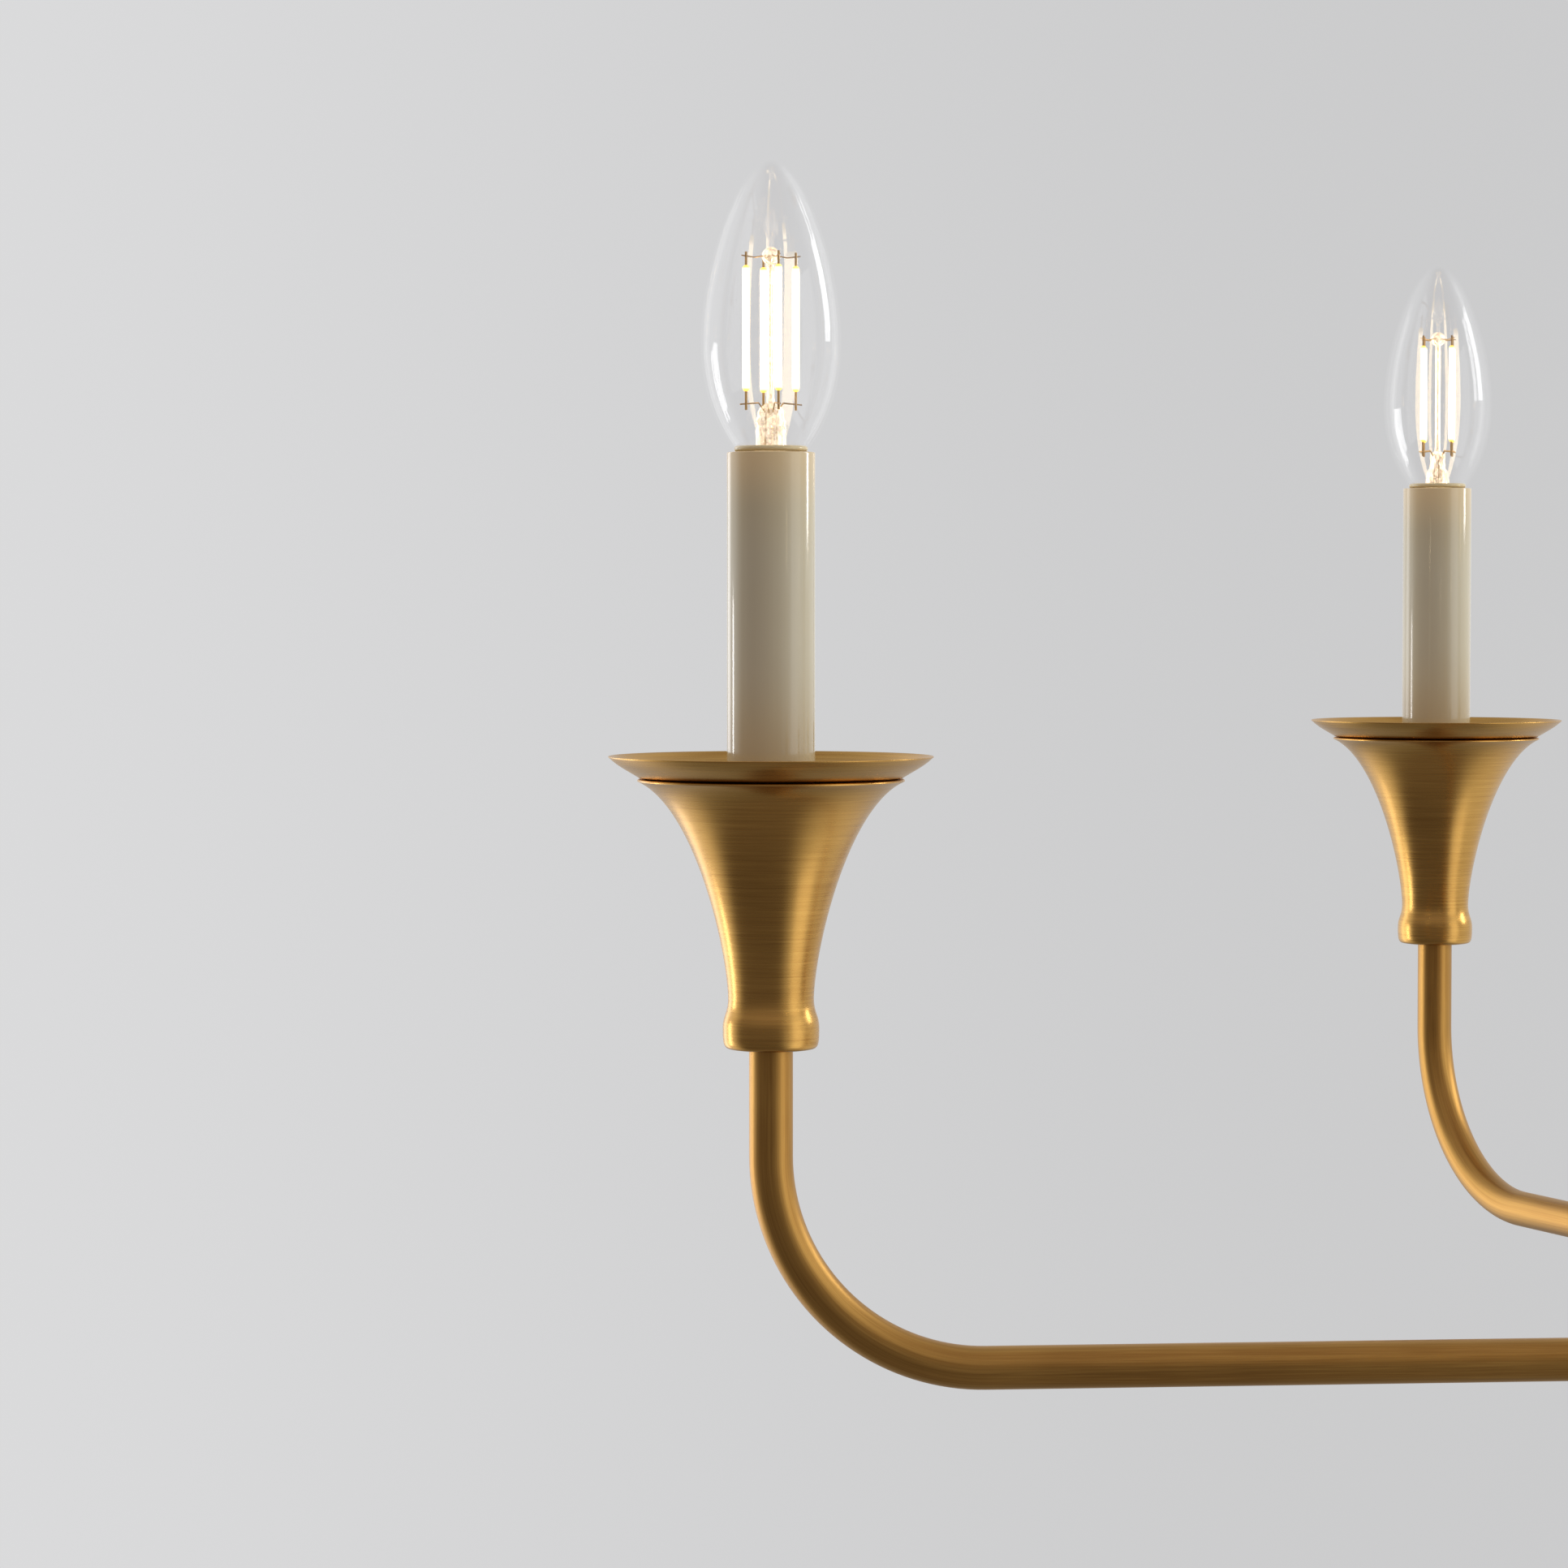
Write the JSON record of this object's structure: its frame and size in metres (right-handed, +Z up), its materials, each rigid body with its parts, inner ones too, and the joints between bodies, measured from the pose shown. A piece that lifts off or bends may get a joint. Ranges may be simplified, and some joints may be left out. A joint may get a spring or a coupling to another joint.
{
  "type": "chandelier",
  "caption": "Chain-hung chandelier: curved tubular arms carry turned candle cups, drip dishes, candle sleeves and candle bulbs round a column and hub.",
  "frame": {"origin": "centre of the canopy rim and of the two ceiling screw slots, on the ceiling plane", "axes": "+Z up into the ceiling, the fixture hangs towards -Z; arm 1 points along -X; the front is -Y"},
  "size_m": [0.7332, 0.7668, 0.6924],
  "materials": {
    "aged_brass": "satin aged brass, brushed",
    "zinc_steel": "zinc plated",
    "green_screw": "green ground screw",
    "connector_plastic": "moulded",
    "flex_plastic": "insulated flex",
    "holder_plastic": "moulded phenolic",
    "sleeve_ivory": "glossy ivory",
    "bulb_glass": "clear",
    "bulb_base_metal": "plated shell",
    "lit_strips": "lit warm white strips on wire supports"
  },
  "bodies": {
    "ceiling_mount": {"ceiling_bracket": "zinc_steel", "bracket_nipple": "zinc_steel", "bracket_nuts": "zinc_steel", "ground_screw": "green_screw", "canopy_loop": "aged_brass"},
    "canopy": {"canopy": "aged_brass", "canopy_ring": "aged_brass"},
    "chain_link_1": {"chain_link_1": "aged_brass"},
    "chain_link_2": {"chain_link_2": "aged_brass"},
    "chain_link_3": {"chain_link_3": "aged_brass"},
    "chain_link_4": {"chain_link_4": "aged_brass"},
    "chain_link_5": {"chain_link_5": "aged_brass"},
    "fixture": {"fixture_loop": "aged_brass", "column_tube": "aged_brass", "column_vase": "aged_brass", "centre_pipe": "zinc_steel", "hub_body": "aged_brass", "hub_cover": "aged_brass", "finial": "aged_brass", "hub_nipples": "zinc_steel", "lock_nuts": "zinc_steel", "wire_connectors": "connector_plastic", "arm_flexes": "flex_plastic", "candle_pipes": "zinc_steel", "lamp_holders": "holder_plastic", "arm_1": "aged_brass", "arm_2": "aged_brass", "arm_3": "aged_brass", "arm_4": "aged_brass", "arm_5": "aged_brass", "candle_cup_1": "aged_brass", "candle_cup_2": "aged_brass", "candle_cup_3": "aged_brass", "candle_cup_4": "aged_brass", "candle_cup_5": "aged_brass", "drip_dish_1": "aged_brass", "drip_dish_2": "aged_brass", "drip_dish_3": "aged_brass", "drip_dish_4": "aged_brass", "drip_dish_5": "aged_brass", "candle_sleeve_1": "sleeve_ivory", "candle_sleeve_2": "sleeve_ivory", "candle_sleeve_3": "sleeve_ivory", "candle_sleeve_4": "sleeve_ivory", "candle_sleeve_5": "sleeve_ivory"},
    "bulb_1": {"bulb_glass_1": "bulb_glass", "bulb_base_1": "bulb_base_metal", "bulb_filament_1": "lit_strips"},
    "bulb_2": {"bulb_glass_2": "bulb_glass", "bulb_base_2": "bulb_base_metal", "bulb_filament_2": "lit_strips"},
    "bulb_3": {"bulb_glass_3": "bulb_glass", "bulb_base_3": "bulb_base_metal", "bulb_filament_3": "lit_strips"},
    "bulb_4": {"bulb_glass_4": "bulb_glass", "bulb_base_4": "bulb_base_metal", "bulb_filament_4": "lit_strips"},
    "bulb_5": {"bulb_glass_5": "bulb_glass", "bulb_base_5": "bulb_base_metal", "bulb_filament_5": "lit_strips"}
  },
  "joints": [
    {"name": "canopy_slide", "type": "slide", "parent": "ceiling_mount", "child": "canopy", "axis": [0, 0, -1], "range_m": [0, 0.025]},
    {"name": "chain_link_1_swing", "type": "hinge", "parent": "ceiling_mount", "child": "chain_link_1", "pos_m": [0, 0, -0.0635], "axis": [1, 0, 0], "range_deg": [-35, 35]},
    {"name": "chain_link_2_swing", "type": "hinge", "parent": "chain_link_1", "child": "chain_link_2", "pos_m": [0, 0, -0.0929], "axis": [0, 1, 0], "range_deg": [-35, 35]},
    {"name": "chain_link_3_swing", "type": "hinge", "parent": "chain_link_2", "child": "chain_link_3", "pos_m": [0, 0, -0.1228], "axis": [-1, 0, 0], "range_deg": [-35, 35]},
    {"name": "chain_link_4_swing", "type": "hinge", "parent": "chain_link_3", "child": "chain_link_4", "pos_m": [0, 0, -0.1527], "axis": [0, -1, 0], "range_deg": [-35, 35]},
    {"name": "chain_link_5_swing", "type": "hinge", "parent": "chain_link_4", "child": "chain_link_5", "pos_m": [0, 0, -0.1826], "axis": [1, 0, 0], "range_deg": [-35, 35]},
    {"name": "fixture_swing", "type": "hinge", "parent": "chain_link_5", "child": "fixture", "pos_m": [0, 0, -0.2125], "axis": [0, 1, 0], "range_deg": [-35, 35]},
    {"name": "bulb_1_lift", "type": "slide", "parent": "fixture", "child": "bulb_1", "axis": [0, 0, 1], "range_m": [0, 0.03]},
    {"name": "bulb_2_lift", "type": "slide", "parent": "fixture", "child": "bulb_2", "axis": [0, 0, 1], "range_m": [0, 0.03]},
    {"name": "bulb_3_lift", "type": "slide", "parent": "fixture", "child": "bulb_3", "axis": [0, 0, 1], "range_m": [0, 0.03]},
    {"name": "bulb_4_lift", "type": "slide", "parent": "fixture", "child": "bulb_4", "axis": [0, 0, 1], "range_m": [0, 0.03]},
    {"name": "bulb_5_lift", "type": "slide", "parent": "fixture", "child": "bulb_5", "axis": [0, 0, 1], "range_m": [0, 0.03]}
  ]
}
